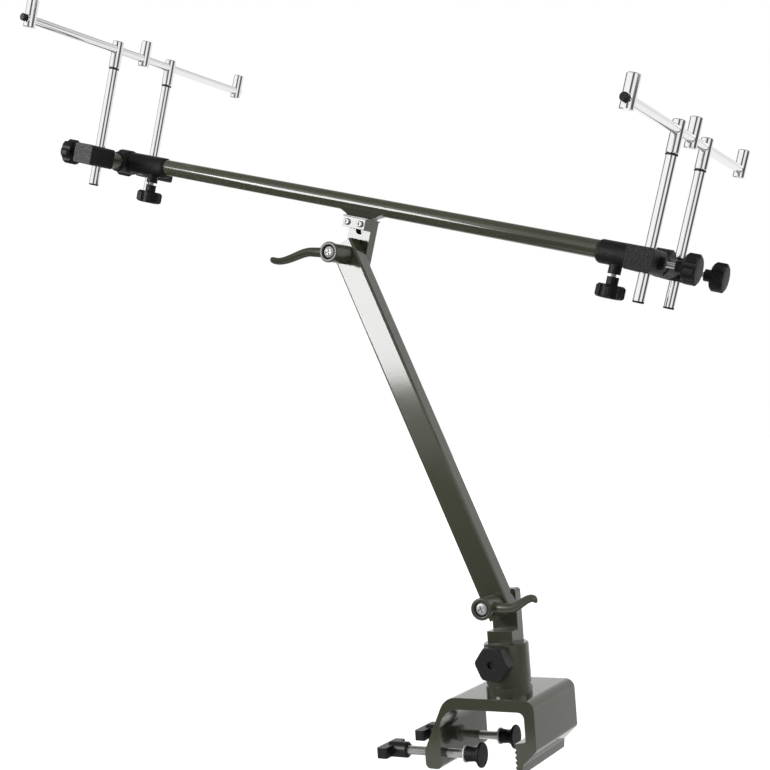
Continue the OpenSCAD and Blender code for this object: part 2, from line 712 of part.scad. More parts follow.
module saddle_screws() {
    head_h = 3;
    shank_len = 7.5;
    front = -block_depth / 2;
    color(chrome) on_tube() for (s = sides)
        translate([s * saddle_screw_spacing / 2, front, upper_block_mid]) rotate([90, 0, 0]) difference() {
            union() {
                rotate_extrude() polygon([
                    [0, 0], [saddle_screw_d / 2, 0], [saddle_screw_d / 2, head_h * 0.6],
                    [saddle_screw_d / 2 - 1, head_h], [0, head_h]]);
                translate([0, 0, -shank_len])
                    cylinder(d = saddle_screw_shank_d - 2 * run_fit, h = shank_len + 0.5);
            }
            translate([0, 0, head_h - 1.5]) cylinder(d = saddle_screw_d * 0.55, h = 2, $fn = 6);
        }
}
module main_tube() {
    color(olive) on_tube() translate([-tube_shift, 0, 0]) difference() {
        pin_x(tube_d, -tube_end, tube_end);
        pin_x(tube_d - 2 * tube_wall, -tube_end - 1, tube_end + 1);
    }
}

// End fitting: a tee on the main tube, a cross tube and two stick clamps
module tee() {
    lip = 1.6;
    bore_end = -cross_tube_d / 2 - 1;
    color(black_plastic) difference() {
        union() {
            translate([0, 0, -sleeve_drop]) rotate([0, 90, 0]) rotate_extrude() polygon([
                [0, -sleeve_reach], [sleeve_d / 2 - lip, -sleeve_reach],
                [sleeve_d / 2, -sleeve_reach + sleeve_lip], [sleeve_d / 2, -tee_collar_len / 2 - lip],
                [tee_collar_d / 2, -tee_collar_len / 2], [tee_collar_d / 2, tee_collar_len / 2 - lip],
                [tee_collar_d / 2 - lip, tee_collar_len / 2], [0, tee_collar_len / 2]]);
            translate([0, cross_sleeve_len / 2, -cross_drop]) rotate([90, 0, 0]) rotate_extrude() polygon([
                [0, 0], [cross_sleeve_d / 2 - lip, 0], [cross_sleeve_d / 2, lip],
                [cross_sleeve_d / 2, cross_sleeve_len - lip], [cross_sleeve_d / 2 - lip, cross_sleeve_len],
                [0, cross_sleeve_len]]);
            translate([-sleeve_knob_reach, 0, boss_face]) cylinder(d = boss_d, h = -boss_face);
        }
        pin_x(tube_d + 2 * run_fit, -sleeve_reach - 1, bore_end);
        translate([0, 0, -cross_drop])
            pin_y(cross_tube_d + 2 * run_fit, cross_sleeve_len, -cross_sleeve_len);
        translate([-sleeve_knob_reach, 0, boss_face - 1])
            cylinder(d = star_stud_d + 2 * run_fit, h = -boss_face);
    }
}
module cross_tube() {
    color(olive) difference() {
        pin_y(cross_tube_d, cross_tube_half, -cross_tube_half);
        pin_y(cross_tube_d - 2 * cross_tube_wall, cross_tube_half + 1, -cross_tube_half - 1);
        for (s = sides) translate([0, s * stick_y, 0]) {
            translate([0, 0, -cross_tube_d])
                cylinder(d = stick_d + 2 * stick_hole_slack, h = 2 * cross_tube_d);
            pin_x(star_stud_d + 2 * stick_hole_slack, 0, cross_tube_d);
        }
    }
}
// Drawn for the far side: +Y points out from the stick, +X to the knob
module stick_clamp() {
    color(black_plastic) difference() {
        union() {
            profile_y(-clamp_in, clamp_out) polygon(rounded([
                [-clamp_w / 2, -clamp_h / 2, clamp_r], [clamp_w / 2, -clamp_h / 2, clamp_r],
                [clamp_w / 2, clamp_h / 2, clamp_r], [-clamp_w / 2, clamp_h / 2, clamp_r]]));
            pin_x(boss_d, 0, clamp_w / 2 + clamp_boss_h);
        }
        pin_y(cross_tube_d + 2 * run_fit, cross_tube_half - stick_y + face_gap, -clamp_in - 1);
        translate([0, 0, -clamp_h]) cylinder(d = stick_d + 2 * run_fit, h = 2 * clamp_h);
        pin_x(star_stud_d + 2 * run_fit, 0, clamp_w + clamp_boss_h);
    }
}
module at_cross(side) { at_end(side) translate([0, 0, -cross_drop]) children(); }
module at_clamp(side, y) { at_cross(side) translate([0, y * stick_y, 0]) children(); }
module clamp_at(side, y) { at_clamp(side, y) mirror([0, y < 0 ? 1 : 0, 0]) stick_clamp(); }
module left_tee() { at_end(-1) tee(); }
module right_tee() { at_end(1) tee(); }
module left_cross_tube() { at_cross(-1) cross_tube(); }
module right_cross_tube() { at_cross(1) cross_tube(); }
module left_near_clamp() { clamp_at(-1, -1); }
module left_far_clamp() { clamp_at(-1, 1); }
module right_near_clamp() { clamp_at(1, -1); }
module right_far_clamp() { clamp_at(1, 1); }

// Star knobs: the neck starts at the origin and the head points along +Z
module star_knob(stud_depth) {
    head = star_neck_len;
    top = star_neck_len + star_len;
    color(black_plastic) difference() {
        union() {
            cylinder(d = star_neck_d, h = star_neck_len + 1);
            difference() {
                rotate_extrude() polygon([
                    [0, head], [star_d / 2 - star_edge, head], [star_d / 2, head + star_edge],
                    [star_d / 2, top - star_edge], [star_d / 2 - star_edge, top - 0.6],
                    [star_d / 4, top], [0, top]]);
                for (i = [0:star_lobes - 1]) rotate(360 * i / star_lobes)
                    translate([star_d / 2 + scallop_d * 0.22, 0, head - 1])
                        cylinder(d = scallop_d, h = star_len + 2);
            }
        }
        translate([0, 0, -1]) cylinder(d = star_stud_d + 2 * run_fit, h = stud_depth + 1);
    }
}
stud_hold = star_neck_len + star_len / 2;
module star_stud(bare) {
    color(steel) translate([0, 0, -bare]) cylinder(d = star_stud_d, h = bare + stud_hold - face_gap);
}
// A sleeve knob hangs under its boss; a clamp knob points outwards from its boss
module at_sleeve_knob(side) {
    at_end(side) translate([-sleeve_knob_reach, 0, boss_face - sleeve_stud_gap])
        rotate([180, 0, 0]) children();
}
module at_clamp_knob(side, y) {
    at_clamp(side, y) translate([clamp_w / 2 + clamp_boss_h + clamp_stud_gap, 0, 0])
        rotate([0, 90, 0]) children();
}
sleeve_stud_bare = sleeve_stud_gap - boss_face - tube_r - tip_gap;
clamp_stud_bare = clamp_w / 2 + clamp_boss_h + clamp_stud_gap - stick_d / 2 - tip_gap;
module left_sleeve_knob() { at_sleeve_knob(-1) star_knob(stud_hold); }
module right_sleeve_knob() { at_sleeve_knob(1) star_knob(stud_hold); }
module left_sleeve_stud() { at_sleeve_knob(-1) star_stud(sleeve_stud_bare); }
module right_sleeve_stud() { at_sleeve_knob(1) star_stud(sleeve_stud_bare); }
module left_near_knob() { at_clamp_knob(-1, -1) star_knob(stud_hold); }
module left_far_knob() { at_clamp_knob(-1, 1) star_knob(stud_hold); }
module right_near_knob() { at_clamp_knob(1, -1) star_knob(stud_hold); }
module right_far_knob() { at_clamp_knob(1, 1) star_knob(stud_hold); }
module left_near_stud() { at_clamp_knob(-1, -1) star_stud(clamp_stud_bare); }
module left_far_stud() { at_clamp_knob(-1, 1) star_stud(clamp_stud_bare); }
module right_near_stud() { at_clamp_knob(1, -1) star_stud(clamp_stud_bare); }
module right_far_stud() { at_clamp_knob(1, 1) star_stud(clamp_stud_bare); }

// Rod rests: a bar with three rod holders on two sticks, drawn from the bar's middle
module at_bar(side) {
    at_end(side) translate([0, 0, side < 0 ? left_bar_rise : right_bar_rise]) children();
}
module at_sticks() { for (s = sides) translate([0, s * stick_y, 0]) children(); }
stick_top = -socket_down - ring_t;
stick_foot = stick_top - stick_len;
plug_depth = 8;
module sticks() {
    color(chrome) at_sticks() difference() {
        union() {
            translate([0, 0, stick_foot]) cylinder(d = stick_d, h = stick_len);
            translate([0, 0, stick_top - 1]) cylinder(d = spigot_d, h = ring_t + spigot_len + 1);
        }
        translate([0, 0, stick_foot - 1]) cylinder(d = stick_d - 2 * stick_wall, h = stick_len - 6);
    }
}
module stick_plugs() {
    color(black_plastic) at_sticks() translate([0, 0, stick_foot]) rotate_extrude() polygon([
        [0, -plug_t], [stick_d / 2 - 0.6, -plug_t], [stick_d / 2, -plug_t + 0.6], [stick_d / 2, 0],
        [stick_d / 2 - stick_wall - run_fit, 0], [stick_d / 2 - stick_wall - run_fit, plug_depth],
        [0, plug_depth]]);
}
module stick_sockets() {
    edge = 0.8;
    color(chrome) at_sticks() difference() {
        rotate_extrude() polygon([
            [0, -socket_down], [socket_d / 2 - edge, -socket_down], [socket_d / 2, -socket_down + edge],
            [socket_d / 2, socket_up - edge], [socket_d / 2 - edge, socket_up], [0, socket_up]]);
        pin_y(bar_d + 2 * run_fit, socket_d, -socket_d);
        translate([0, 0, -socket_down - 1]) cylinder(d = spigot_d + 2 * run_fit, h = spigot_len + 1.5);
    }
}
module o_rings() {
    color(black_plastic) at_sticks() translate([0, 0, stick_top]) rotate_extrude() polygon(rounded([
        [spigot_d / 2 + run_fit, 0, 0], [socket_d / 2 - 0.4, 0, ring_t * 0.4],
        [socket_d / 2 - 0.4, ring_t, ring_t * 0.4], [spigot_d / 2 + run_fit, ring_t, 0]]));
}
bar_end = bar_span / 2 + holder_d / 2 + bar_proud;
module buzz_bar() { color(chrome) pin_y(bar_d, bar_end, -bar_end); }
module bar_cap(side, len) {
    edge = 0.8;
    color(black_plastic) translate([0, side * bar_end, 0]) rotate([-90 * side, 0, 0])
        rotate_extrude() polygon([
            [0, 0], [bar_cap_d / 2, 0], [bar_cap_d / 2, len - edge], [bar_cap_d / 2 - edge, len], [0, len]]);
}
module bar_caps() {
    bar_cap(-1, bar_stop_len);
    bar_cap(1, bar_plug_len);
}
module rod_holders() {
    edge = 0.8;
    bore_mouth = 0.7;
    color(chrome) for (y = [-bar_span / 2, 0, bar_span / 2]) translate([0, y, 0]) difference() {
        rotate_extrude() polygon([
            [0, -holder_down], [holder_d / 2 - edge, -holder_down], [holder_d / 2, -holder_down + edge],
            [holder_d / 2, holder_up - edge], [holder_d / 2 - edge, holder_up], [0, holder_up]]);
        pin_y(bar_d + 2 * run_fit, holder_d, -holder_d);
        translate([0, 0, holder_up - holder_bore_len]) cylinder(d = holder_bore_d, h = holder_bore_len + 1);
        translate([0, 0, holder_up - bore_mouth])
            cylinder(d1 = holder_bore_d, d2 = holder_bore_d + 2 * bore_mouth, h = bore_mouth + 0.001);
    }
}
module left_sticks() { at_bar(-1) sticks(); }
module right_sticks() { at_bar(1) sticks(); }
module left_buzz_bar() { at_bar(-1) buzz_bar(); }
module right_buzz_bar() { at_bar(1) buzz_bar(); }
module left_rod_holders() { at_bar(-1) rod_holders(); }
module right_rod_holders() { at_bar(1) rod_holders(); }
module left_stick_sockets() { at_bar(-1) stick_sockets(); }
module right_stick_sockets() { at_bar(1) stick_sockets(); }
module left_o_rings() { at_bar(-1) o_rings(); }
module right_o_rings() { at_bar(1) o_rings(); }
module left_stick_plugs() { at_bar(-1) stick_plugs(); }
module right_stick_plugs() { at_bar(1) stick_plugs(); }
module left_bar_caps() { at_bar(-1) bar_caps(); }
module right_bar_caps() { at_bar(1) bar_caps(); }

clamp_bracket();
post_socket();
swivel_knob();
swivel_stud();
front_clamp_screw();
rear_clamp_screw();
front_clamp_wing();
rear_clamp_wing();
front_clamp_pad();
rear_clamp_pad();
front_pad_washer();
rear_pad_washer();
swivel_clevis();
lower_pivot_bolt();
lower_lever();
lower_lever_screw();
arm_tube();
arm_bushes();
upper_clevis();
upper_pivot_bolt();
upper_lever();
upper_lever_screw();
tube_saddle();
saddle_plate();
saddle_screws();
main_tube();
left_tee();
right_tee();
left_cross_tube();
right_cross_tube();
left_near_clamp();
left_far_clamp();
right_near_clamp();
right_far_clamp();
left_sleeve_knob();
right_sleeve_knob();
left_sleeve_stud();
right_sleeve_stud();
left_near_knob();
left_far_knob();
right_near_knob();
right_far_knob();
left_near_stud();
left_far_stud();
right_near_stud();
right_far_stud();
left_sticks();
right_sticks();
left_buzz_bar();
right_buzz_bar();
left_rod_holders();
right_rod_holders();
left_stick_sockets();
right_stick_sockets();
left_o_rings();
right_o_rings();
left_stick_plugs();
right_stick_plugs();
left_bar_caps();
right_bar_caps();
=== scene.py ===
import json
import math

import bpy
from mathutils import Matrix, Vector

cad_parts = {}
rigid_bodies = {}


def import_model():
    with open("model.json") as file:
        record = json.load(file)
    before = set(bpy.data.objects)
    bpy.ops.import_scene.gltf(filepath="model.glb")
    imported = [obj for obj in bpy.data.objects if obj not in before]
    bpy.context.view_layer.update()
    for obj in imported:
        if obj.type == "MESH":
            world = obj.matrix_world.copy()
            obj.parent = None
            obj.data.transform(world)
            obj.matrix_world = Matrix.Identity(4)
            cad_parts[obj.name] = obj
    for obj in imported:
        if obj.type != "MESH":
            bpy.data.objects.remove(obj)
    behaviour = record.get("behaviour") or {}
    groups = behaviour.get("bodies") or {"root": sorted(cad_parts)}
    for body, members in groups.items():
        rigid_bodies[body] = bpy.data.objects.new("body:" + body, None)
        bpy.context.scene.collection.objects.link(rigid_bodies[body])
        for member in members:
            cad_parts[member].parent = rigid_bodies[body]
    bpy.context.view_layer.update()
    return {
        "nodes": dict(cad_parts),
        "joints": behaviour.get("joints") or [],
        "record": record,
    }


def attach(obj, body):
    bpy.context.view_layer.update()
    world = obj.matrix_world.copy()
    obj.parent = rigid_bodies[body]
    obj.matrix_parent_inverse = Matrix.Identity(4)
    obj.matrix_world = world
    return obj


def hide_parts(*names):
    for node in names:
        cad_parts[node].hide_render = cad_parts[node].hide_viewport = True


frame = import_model()
nodes = frame["nodes"]
record = frame["record"]
joints = {joint["name"]: joint for joint in frame["joints"]}
slotOf = {row["node"]: row["material_slot"] for row in record["subparts"]}
bodyOf = {node: body for body, members in record["behaviour"]["bodies"].items() for node in members}
mm = 0.001


class Wire:
    # a node socket that works in Python expressions
    def __init__(self, tree, socket=None):
        self.tree = tree
        self.socket = socket

    def node(self, kind, settings=None, sockets=None, out=0):
        made = self.tree.nodes.new(kind)
        for name, value in (settings or {}).items():
            if name == "stops":
                ramp = made.color_ramp.elements
                while len(ramp) < len(value):
                    ramp.new(0.5)
                for stop, (place, colour) in zip(ramp, value):
                    stop.position = place
                    stop.color = (*colour, 1)
            else:
                setattr(made, name, value)
        for name, value in (sockets or {}).items():
            if isinstance(value, Wire):
                self.tree.links.new(value.socket, made.inputs[name])
            else:
                made.inputs[name].default_value = value
        return Wire(self.tree, made.outputs[out])

    def math(self, operation, a, b):
        return self.node("ShaderNodeMath", {"operation": operation}, {0: a, 1: b})

    def __add__(self, other):
        return self.math("ADD", self, other)

    def __radd__(self, other):
        return self.math("ADD", other, self)

    def __sub__(self, other):
        return self.math("SUBTRACT", self, other)

    def __rsub__(self, other):
        return self.math("SUBTRACT", other, self)

    def __mul__(self, other):
        return self.math("MULTIPLY", self, other)

    def __rmul__(self, other):
        return self.math("MULTIPLY", other, self)


def startMaterial(name):
    made = bpy.data.materials.new(name)
    made.use_nodes = True
    tree = made.node_tree
    place = Wire(tree).node("ShaderNodeTexCoord", out="Object")
    return made, tree.nodes["Principled BSDF"], place


def feed(shader, socket, wire):
    wire.tree.links.new(wire.socket, shader.inputs[socket])


def noise(place, scale, detail=2.0, rough=0.5):
    sockets = {"Vector": place, "Scale": scale, "Detail": detail, "Roughness": rough}
    return place.node("ShaderNodeTexNoise", {}, sockets)


def clamped(wire, low=0.0, high=1.0):
    return wire.node("ShaderNodeClamp", {}, {"Value": wire, "Min": low, "Max": high})


def mixColour(factor, first, second):
    # inputs 6 and 7 and output 2 are the mix node's colours
    sockets = {"Factor": factor, 6: first, 7: second}
    return factor.node("ShaderNodeMix", {"data_type": "RGBA"}, sockets, out=2)


edgeSpec = {"samples": 4, "gain": 3.0}


def softEdges(place, radius):
    return place.node("ShaderNodeBevel", {"samples": edgeSpec["samples"]}, {"Radius": radius})


def edgeMask(place, radius):
    # 0 on flat faces, rising towards 1 on corners
    soft = softEdges(place, radius)
    true = place.node("ShaderNodeNewGeometry", out="Normal")
    product = {"operation": "DOT_PRODUCT"}
    same = place.node("ShaderNodeVectorMath", product, {0: soft, 1: true}, out="Value")
    return clamped((1 - same) * edgeSpec["gain"])


def bumpy(place, height, strength, distance, under=None):
    sockets = {"Height": height, "Strength": strength, "Distance": distance}
    if under:
        sockets["Normal"] = under
    return place.node("ShaderNodeBump", {}, sockets)


oliveSpec = {
    "light": (0.050, 0.0515, 0.0335, 1), "dark": (0.039, 0.0405, 0.026, 1),
    # the lighter colour for the edges and its share make a painted edge highlight
    "worn": (0.078, 0.080, 0.058, 1), "edge": 0.0009, "wear": 0.6,
    "cloudScale": 9.0, "cloudGain": 1.2, "cloudRough": 0.05,
    "speckScale": 900.0, "speckRough": 0.04,
    "peelScale": 420, "peel": 0.03, "peelDepth": 0.0004, "coatRough": 0.05, "coatShare": 0.5,
}


def makeOlive(name, rough, tone, coat):
    spec = oliveSpec
    made, shader, place = startMaterial(name)
    cloud = noise(place, spec["cloudScale"], detail=3.0)
    speck = noise(place, spec["speckScale"], detail=1.0)
    peel = noise(place, spec["peelScale"], detail=1.0)
    paint = mixColour(clamped(cloud * spec["cloudGain"] - tone), spec["dark"], spec["light"])
    # painted highlight: the edges and corners are made lighter
    wear = edgeMask(place, spec["edge"]) * spec["wear"]
    feed(shader, "Base Color", mixColour(wear, paint, spec["worn"]))
    feed(shader, "Roughness", cloud * spec["cloudRough"] + speck * spec["speckRough"] + rough)
    feed(shader, "Normal", bumpy(place, peel, spec["peel"], spec["peelDepth"]))
    shader.inputs["Coat Weight"].default_value = coat
    shader.inputs["Coat Roughness"].default_value = spec["coatRough"] + rough * spec["coatShare"]
    return made


plasticSpec = {
    # the lighter colour serves for flecks of grain and for a painted highlight on the edges
    "base": (0.0056, 0.0056, 0.0062, 1), "lift": (0.0125, 0.0125, 0.0138, 1), "edge": 0.0006,
    "grainLift": 0.6, "edgeHighlightLift": 0.5, "grainRough": 0.18, "grainDepth": 0.0007,
    "cloudScale": 14.0, "cloudRough": 0.06, "meanRough": 0.12,
}


def makePlastic(name, rough, grain, grainScale, shine):
    spec = plasticSpec
    made, shader, place = startMaterial(name)
    fine = noise(place, grainScale, detail=3.0, rough=0.65)
    cloud = noise(place, spec["cloudScale"])
    # lighter flecks of grain, and lighter edges as a painted highlight
    lift = clamped(fine * spec["grainLift"] + edgeMask(place, spec["edge"]) * spec["edgeHighlightLift"])
    change = fine * spec["grainRough"] + cloud * spec["cloudRough"]
    under = softEdges(place, spec["edge"])
    feed(shader, "Base Color", mixColour(lift, spec["base"], spec["lift"]))
    feed(shader, "Roughness", change + (rough - spec["meanRough"]))
    feed(shader, "Normal", bumpy(place, fine, grain, spec["grainDepth"], under))
    shader.inputs["Specular IOR Level"].default_value = shine
    return made


metalSpec = {"cloudScale": 25.0, "cloudRough": 0.05, "lineScale": 700.0, "lineRough": 0.05,
             "lineDepth": 0.0003}


def makeMetal(name, dull, bright, rough, lines):
    # plated metal: faint clouds in its tone, and a fine unevenness
    spec = metalSpec
    made, shader, place = startMaterial(name)
    cloud = noise(place, spec["cloudScale"], detail=3.0)
    fine = noise(place, spec["lineScale"], rough=0.6)
    feed(shader, "Base Color", mixColour(cloud, dull, bright))
    feed(shader, "Roughness", cloud * spec["cloudRough"] + fine * spec["lineRough"] + rough)
    feed(shader, "Normal", bumpy(place, fine, lines, spec["lineDepth"]))
    shader.inputs["Metallic"].default_value = 1.0
    return made


nylonSpec = {"dull": (0.62, 0.62, 0.59, 1), "bright": (0.72, 0.72, 0.70, 1), "cloudScale": 120.0,
             "cloudRough": 0.15, "rough": 0.38}


def makeNylon():
    spec = nylonSpec
    made, shader, place = startMaterial("whiteNylon")
    cloud = noise(place, spec["cloudScale"])
    feed(shader, "Base Color", mixColour(cloud, spec["dull"], spec["bright"]))
    feed(shader, "Roughness", cloud * spec["cloudRough"] + spec["rough"])
    return made


rubberSpec = {"dark": (0.007, 0.007, 0.007, 1), "light": (0.014, 0.014, 0.014, 1),
              "grainScale": 1800.0, "grainRough": 0.2, "rough": 0.55, "shine": 0.3}


def makeRubber():
    spec = rubberSpec
    made, shader, place = startMaterial("blackRubber")
    fine = noise(place, spec["grainScale"])
    feed(shader, "Base Color", mixColour(fine, spec["dark"], spec["light"]))
    feed(shader, "Roughness", fine * spec["grainRough"] + spec["rough"])
    shader.inputs["Specular IOR Level"].default_value = spec["shine"]
    return made


finishes = {
    "olive_paint": makeOlive("olivePaint", rough=0.06, tone=0.1, coat=0.2),
    # darker, duller olive: satin paint on the levers, and painted shade on the cross tubes, which
    # sit in shadow between the clamps and the tees
    "satinOliveAndShade": makeOlive("satinOliveAndShade", rough=0.25, tone=0.55, coat=0.0),
    "black_plastic": makePlastic("grainedPlastic", rough=0.44, grain=0.9, grainScale=600,
                                 shine=0.17),
    "satin": makePlastic("satinPlastic", rough=0.36, grain=0.12, grainScale=1500, shine=0.27),
    "chrome": makeMetal("chromePlate", (0.87, 0.87, 0.875, 1), (0.93, 0.93, 0.935, 1),
                        rough=0.04, lines=0.004),
    "steel": makeMetal("zincSteel", (0.60, 0.59, 0.57, 1), (0.74, 0.73, 0.71, 1),
                       rough=0.24, lines=0.05),
    "brightScrew": makeMetal("brightScrew", (0.42, 0.42, 0.425, 1), (0.52, 0.52, 0.525, 1),
                             rough=0.5, lines=0.05),
    "brightPlate": makeMetal("brightPlate", (0.27, 0.27, 0.275, 1), (0.34, 0.34, 0.345, 1),
                             rough=0.54, lines=0.05),
    "nylon": makeNylon(),
    "rubber": makeRubber(),
}
# nodes with another finish than the one of their material slot
ownFinish = {
    # the cross tubes take the darker olive as painted shade
    "left_cross_tube": "satinOliveAndShade", "right_cross_tube": "satinOliveAndShade", "swivel_knob": "satin",
    "front_clamp_wing": "satin", "rear_clamp_wing": "satin", "saddle_plate": "brightPlate",
    "saddle_screws": "brightScrew", "lower_lever_screw": "brightScrew",
    "upper_lever_screw": "brightScrew",
}
for node, slot in slotOf.items():
    slots = nodes[node].data.materials
    slots.clear()
    slots.append(finishes[ownFinish.get(node, slot)])
print("materials set on", len(nodes), "CAD nodes")

# how close points are welded, in metres
fineWeld = 1e-7
seamWeld = 1e-6
cadWeld = 2e-6


def selectOnly(made):
    bpy.ops.object.select_all(action="DESELECT")
    made.select_set(True)
    bpy.context.view_layer.objects.active = made


def drawLine(points, closed=False):
    # a chain of edges in edit mode, ready to spin or screw
    bpy.ops.object.select_all(action="DESELECT")
    bpy.ops.mesh.primitive_plane_add(size=mm, location=points[0])
    made = bpy.context.object
    bpy.ops.object.transform_apply(location=True)
    bpy.ops.object.mode_set(mode="EDIT")
    bpy.ops.mesh.select_all(action="SELECT")
    bpy.ops.mesh.merge(type="CENTER")
    for a, b in zip(points, points[1:] + points[:1] * closed):
        move = {"value": Vector(b) - Vector(a)}
        bpy.ops.mesh.extrude_vertices_move(TRANSFORM_OT_translate=move)
    bpy.ops.mesh.select_all(action="SELECT")
    if closed:
        bpy.ops.mesh.remove_doubles(threshold=fineWeld)
    return made


def closeUp():
    # welds the seam, turns the faces outwards and leaves edit mode
    bpy.ops.mesh.select_all(action="SELECT")
    bpy.ops.mesh.remove_doubles(threshold=seamWeld)
    bpy.ops.mesh.normals_make_consistent(inside=False)
    bpy.ops.object.mode_set(mode="OBJECT")


def applyModifiers(made):
    selectOnly(made)
    for modifier in list(made.modifiers):
        bpy.ops.object.modifier_apply(modifier=modifier.name)


def setDown(made, matrix):
    # moves a finished piece and writes its place into its mesh
    made.matrix_world = matrix
    selectOnly(made)
    bpy.ops.object.transform_apply(location=True, rotation=True, scale=True)


def copyPiece(made, name):
    other = made.copy()
    other.data = made.data.copy()
    other.name = name
    bpy.context.scene.collection.objects.link(other)
    return other


def pieceName(node):
    first, *others = node.split("_")
    return first + "".join(word.title() for word in others)


def dress(made, name, finish, slot, body, *replaced):
    made.name = name
    made.data.materials.clear()
    made.data.materials.append(finishes[finish])
    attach(made, body)
    if replaced:
        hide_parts(*replaced)


# lengths in mm and turns in degrees; Start, Run and Step are shares of the handle's length
leverSpec = {
    "hubBase": -21.4, "hubLen": 36.6, "hubR": 11.0, "hubCorner": 1.0, "hubSides": 72,
    "rimR": 12.0, "rimLen": 3.5, "rimSlope": 1.0, "rimCorner": 0.8,
    "boreR": 5.3, "recessR": 8.05, "recess": 5.8, "recessCorner": 0.6,
    "handleAt": 0.62, "length": 71.0, "splay": 20.0, "crest": 13.4,
    "riseStart": 0.4, "riseRun": 0.52,
    "droop": 1.9, "droopRun": 0.14, "endRun": 0.05, "tipLeast": 0.04, "slopeStep": 0.01,
    "rootHalf": (6.4, 6.5), "tipHalf": (3.8, 3.7),
    "rings": 34, "ringStart": 0.1, "ringPower": 1.5, "sides": 24,
    "voxel": 0.45, "smooth": 0.5, "smoothSteps": 5, "lowerTurn": 0.0, "upperTurn": 171.0,
}


def ease(u):
    u = min(max(u, 0.0), 1.0)
    return u * u * (3 - 2 * u)


def leverCentre(t):
    spec = leverSpec
    droop = spec["droop"] * (max(t - 1 + spec["droopRun"], 0) / spec["droopRun"]) ** 2
    rise = spec["crest"] * ease((t - spec["riseStart"]) / spec["riseRun"]) - droop
    out = math.tan(math.radians(spec["splay"])) * spec["length"] * t * t
    root = spec["hubBase"] - spec["hubLen"] * spec["handleAt"]
    return Vector((spec["length"] * t, root - out, rise)) * mm


def leverHalf(t):
    # half the handle's depth and height at t
    spec = leverSpec
    ahead, back = leverCentre(t + spec["slopeStep"]), leverCentre(t - spec["slopeStep"])
    slope = math.atan2(ahead.z - back.z, ahead.x - back.x)
    past = max(t - 1 + spec["endRun"], 0) / spec["endRun"]
    tip = math.sqrt(max(spec["tipLeast"], 1 - past ** 2))
    deep, high = (a + (b - a) * t for a, b in zip(spec["rootHalf"], spec["tipHalf"]))
    return deep * tip * mm, high * tip * mm / math.cos(slope)


def shapeHub():
    spec = leverSpec
    boreR = spec["boreR"]
    hubR, hubCorner = spec["hubR"], spec["hubCorner"]
    rimR, rimCorner = spec["rimR"], spec["rimCorner"]
    recessR, recessCorner = spec["recessR"], spec["recessCorner"]
    end = spec["hubLen"]
    step, floor = end - spec["rimLen"], end - spec["recess"]
    line = [
        (0, boreR), (0, hubR - hubCorner), (hubCorner, hubR), (step - spec["rimSlope"], hubR),
        (step, rimR), (end - rimCorner, rimR), (end, rimR - rimCorner),
        (end, recessR + recessCorner), (end - recessCorner, recessR),
        (floor, recessR), (floor, boreR),
    ]
    hub = drawLine([Vector((0, spec["hubBase"] - d, r)) * mm for d, r in line], closed=True)
    bpy.ops.mesh.spin(steps=spec["hubSides"], angle=math.tau, center=(0, 0, 0), axis=(0, 1, 0))
    closeUp()
    return hub


def shapeHandle():
    # grows out of the hub's wall ring by ring, with the rings closer together towards its tip
    spec = leverSpec
    first = spec["ringStart"]
    shares = [(1 - i / spec["rings"]) ** spec["ringPower"] for i in range(spec["rings"] + 1)]
    steps = [first + (1 - first) * (1 - share) for share in shares]
    deep, high = leverHalf(first)
    bpy.ops.object.select_all(action="DESELECT")
    bpy.ops.mesh.primitive_circle_add(vertices=spec["sides"], radius=high, fill_type="NGON",
                                      location=leverCentre(first), rotation=(0, math.pi / 2, 0))
    handle = bpy.context.object
    bpy.ops.object.transform_apply(location=True, rotation=True)
    bpy.ops.object.mode_set(mode="EDIT")
    bpy.ops.mesh.select_all(action="SELECT")
    bpy.ops.transform.resize(value=(1, deep / high, 1), center_override=leverCentre(first))
    for before, t in zip(steps, steps[1:]):
        move = {"value": leverCentre(t) - leverCentre(before)}
        bpy.ops.mesh.extrude_region_move(TRANSFORM_OT_translate=move)
        (deep0, high0), (deep1, high1) = leverHalf(before), leverHalf(t)
        grow = (1, deep1 / deep0, high1 / high0)
        bpy.ops.transform.resize(value=grow, center_override=leverCentre(t))
    closeUp()
    return handle


def shapeLever():
    # one moulded skin, with a fillet where handle and hub meet
    spec = leverSpec
    lever = shapeHub()
    handle = shapeHandle()
    selectOnly(lever)
    handle.select_set(True)
    bpy.ops.object.join()
    skin = lever.modifiers.new("skin", "REMESH")
    skin.mode = "VOXEL"
    skin.voxel_size = spec["voxel"] * mm
    soft = lever.modifiers.new("soft", "SMOOTH")
    soft.factor, soft.iterations = spec["smooth"], spec["smoothSteps"]
    applyModifiers(lever)
    bpy.ops.object.shade_smooth()
    return lever


def makeLevers():
    lower = shapeLever()
    upper = copyPiece(lower, "upperLever")
    for made, name in ((lower, "lower"), (upper, "upper")):
        pivot = Matrix.Translation(joints[name + "_lever_turn"]["pos_m"])
        setDown(made, pivot @ Matrix.Rotation(-math.radians(leverSpec[name + "Turn"]), 4, "Y"))
        dress(made, name + "Lever", "satinOliveAndShade", "olive_paint", name + "_lever", name + "_lever")


# one pitch of a thread: how far along it, and how far out of its depth
threadForm = [(0, 0), (0.12, 0), (0.44, 1), (0.62, 1), (0.94, 0), (1, 0)]
threadSpec = {"sides": 24, "smooth": 50}
screwSize = {"pitch": 2.0, "depth": 0.8}
studSize = {"pitch": 1.0, "depth": 0.5}
threadSizes = {f"{end}_clamp_screw": (f"{end}_screw_turn", screwSize) for end in ("front", "rear")}
for end in ("left", "right"):
    for knob in ("sleeve", "near", "far"):
        threadSizes[f"{end}_{knob}_stud"] = (f"{end}_{knob}_knob_turn", studSize)


